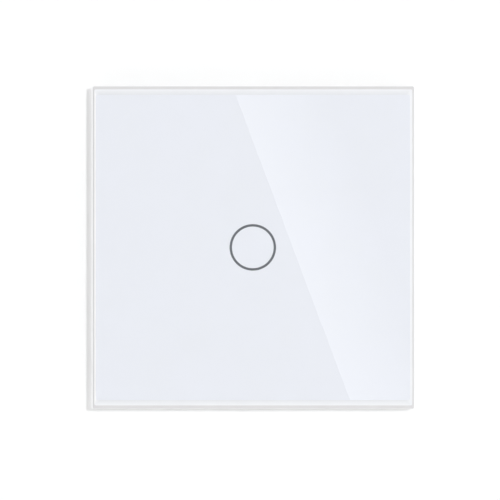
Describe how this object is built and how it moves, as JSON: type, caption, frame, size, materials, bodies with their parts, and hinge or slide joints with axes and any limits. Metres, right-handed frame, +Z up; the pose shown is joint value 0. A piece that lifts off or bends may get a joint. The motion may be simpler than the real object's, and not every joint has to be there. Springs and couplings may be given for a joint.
{
  "type": "light switch",
  "caption": "Touch wall light switch with a square white glass panel and a thin ring, on a steel yoke with a back box that fits a round wall box.",
  "frame": {"origin": "centre of the wall plane, midway between the two wall-box screws", "axes": "+Z up as mounted, +X right seen from the room, +Y into the wall; the glass faces -Y"},
  "size_m": [0.08, 0.038, 0.08],
  "materials": {
    "clear_glass": "polished, ground edges",
    "white_print": "fired white print seen through glass",
    "smoke_print": "translucent grey print",
    "foam_tape": "matt foam",
    "white_abs": "fine moulded texture",
    "zinc_plate": "zinc plated",
    "screw_zinc": "zinc plated, bright",
    "dark_polyamide": "spark-eroded texture",
    "grey_polyamide": "moulded satin",
    "board_laminate": "solder mask on glass-fibre laminate",
    "spring_steel": "drawn wire",
    "clear_acrylic": "moulded clear",
    "lamp_resin": "cast resin",
    "black_epoxy": "moulded epoxy",
    "tinned_copper": "tinned",
    "brass": "rolled strip",
    "blue_plastic": "moulded",
    "soft_iron": "nickel flash",
    "enamelled_copper": "enamelled wire",
    "yellow_plastic": "moulded",
    "black_sleeve": "shrunk sleeve",
    "ferrite": "sintered",
    "fuse_ceramic": "cement coat"
  },
  "bodies": {
    "wall_unit": {"mounting_yoke": "zinc_plate", "box_screws": "screw_zinc", "front_cover": "white_abs", "case_screws": "screw_zinc", "back_box": "dark_polyamide", "touch_board": "board_laminate", "power_board": "board_laminate", "board_screws": "screw_zinc", "touch_spring": "spring_steel", "light_guide": "clear_acrylic", "indicator_leds": "lamp_resin", "touch_chip": "black_epoxy", "chip_leads": "tinned_copper", "surface_parts": "black_epoxy", "link_header": "black_epoxy", "link_pins": "brass", "terminal_block": "grey_polyamide", "contact_tongues": "brass", "relay_base": "black_epoxy", "relay_case": "blue_plastic", "relay_frame": "soft_iron", "relay_bobbin": "white_abs", "relay_winding": "enamelled_copper", "relay_core": "soft_iron", "fixed_contact": "brass", "film_capacitor": "yellow_plastic", "smoothing_capacitor": "black_sleeve", "choke_core": "ferrite", "choke_winding": "enamelled_copper", "varistor": "blue_plastic", "fuse_resistor": "fuse_ceramic", "bridge_rectifier": "black_epoxy", "voltage_regulator": "black_epoxy"},
    "panel": {"glass_panel": "clear_glass", "back_print": "white_print", "ring_window": "smoke_print", "bonding_tape": "foam_tape", "panel_holder": "white_abs"},
    "relay_lever": {"relay_armature": "soft_iron", "contact_blade": "brass"},
    "screw_1": {"terminal_screw_1": "screw_zinc"},
    "cage_1": {"terminal_cage_1": "zinc_plate"},
    "screw_2": {"terminal_screw_2": "screw_zinc"},
    "cage_2": {"terminal_cage_2": "zinc_plate"},
    "screw_3": {"terminal_screw_3": "screw_zinc"},
    "cage_3": {"terminal_cage_3": "zinc_plate"}
  },
  "joints": [
    {"name": "panel_pull", "type": "slide", "parent": "wall_unit", "child": "panel", "axis": [0, -1, 0], "range_m": [0, 0.02]},
    {"name": "relay_pull", "type": "hinge", "parent": "wall_unit", "child": "relay_lever", "pos_m": [-0.00795, 0.0183, 0.01461], "axis": [0, 0, -1], "range_deg": [0, 3.5], "stiffness_Nm_per_rad": 0.01, "springref_deg": -3.44},
    {"name": "terminal_turn_1", "type": "hinge", "parent": "wall_unit", "child": "screw_1", "pos_m": [-0.0085, 0.018, -0.0196], "axis": [0, -1, 0], "range_deg": [0, 1440]},
    {"name": "cage_rise_1", "type": "slide", "parent": "wall_unit", "child": "cage_1", "axis": [0, 1, 0], "range_m": [0, 0.002]},
    {"name": "terminal_turn_2", "type": "hinge", "parent": "wall_unit", "child": "screw_2", "pos_m": [0, 0.018, -0.0196], "axis": [0, -1, 0], "range_deg": [0, 1440]},
    {"name": "cage_rise_2", "type": "slide", "parent": "wall_unit", "child": "cage_2", "axis": [0, 1, 0], "range_m": [0, 0.002]},
    {"name": "terminal_turn_3", "type": "hinge", "parent": "wall_unit", "child": "screw_3", "pos_m": [0.0085, 0.018, -0.0196], "axis": [0, -1, 0], "range_deg": [0, 1440]},
    {"name": "cage_rise_3", "type": "slide", "parent": "wall_unit", "child": "cage_3", "axis": [0, 1, 0], "range_m": [0, 0.002]}
  ],
  "couplings": [
    {"joint": "terminal_turn_1", "follows": "cage_rise_1", "rad_per_m": 12566},
    {"joint": "terminal_turn_2", "follows": "cage_rise_2", "rad_per_m": 12566},
    {"joint": "terminal_turn_3", "follows": "cage_rise_3", "rad_per_m": 12566}
  ]
}
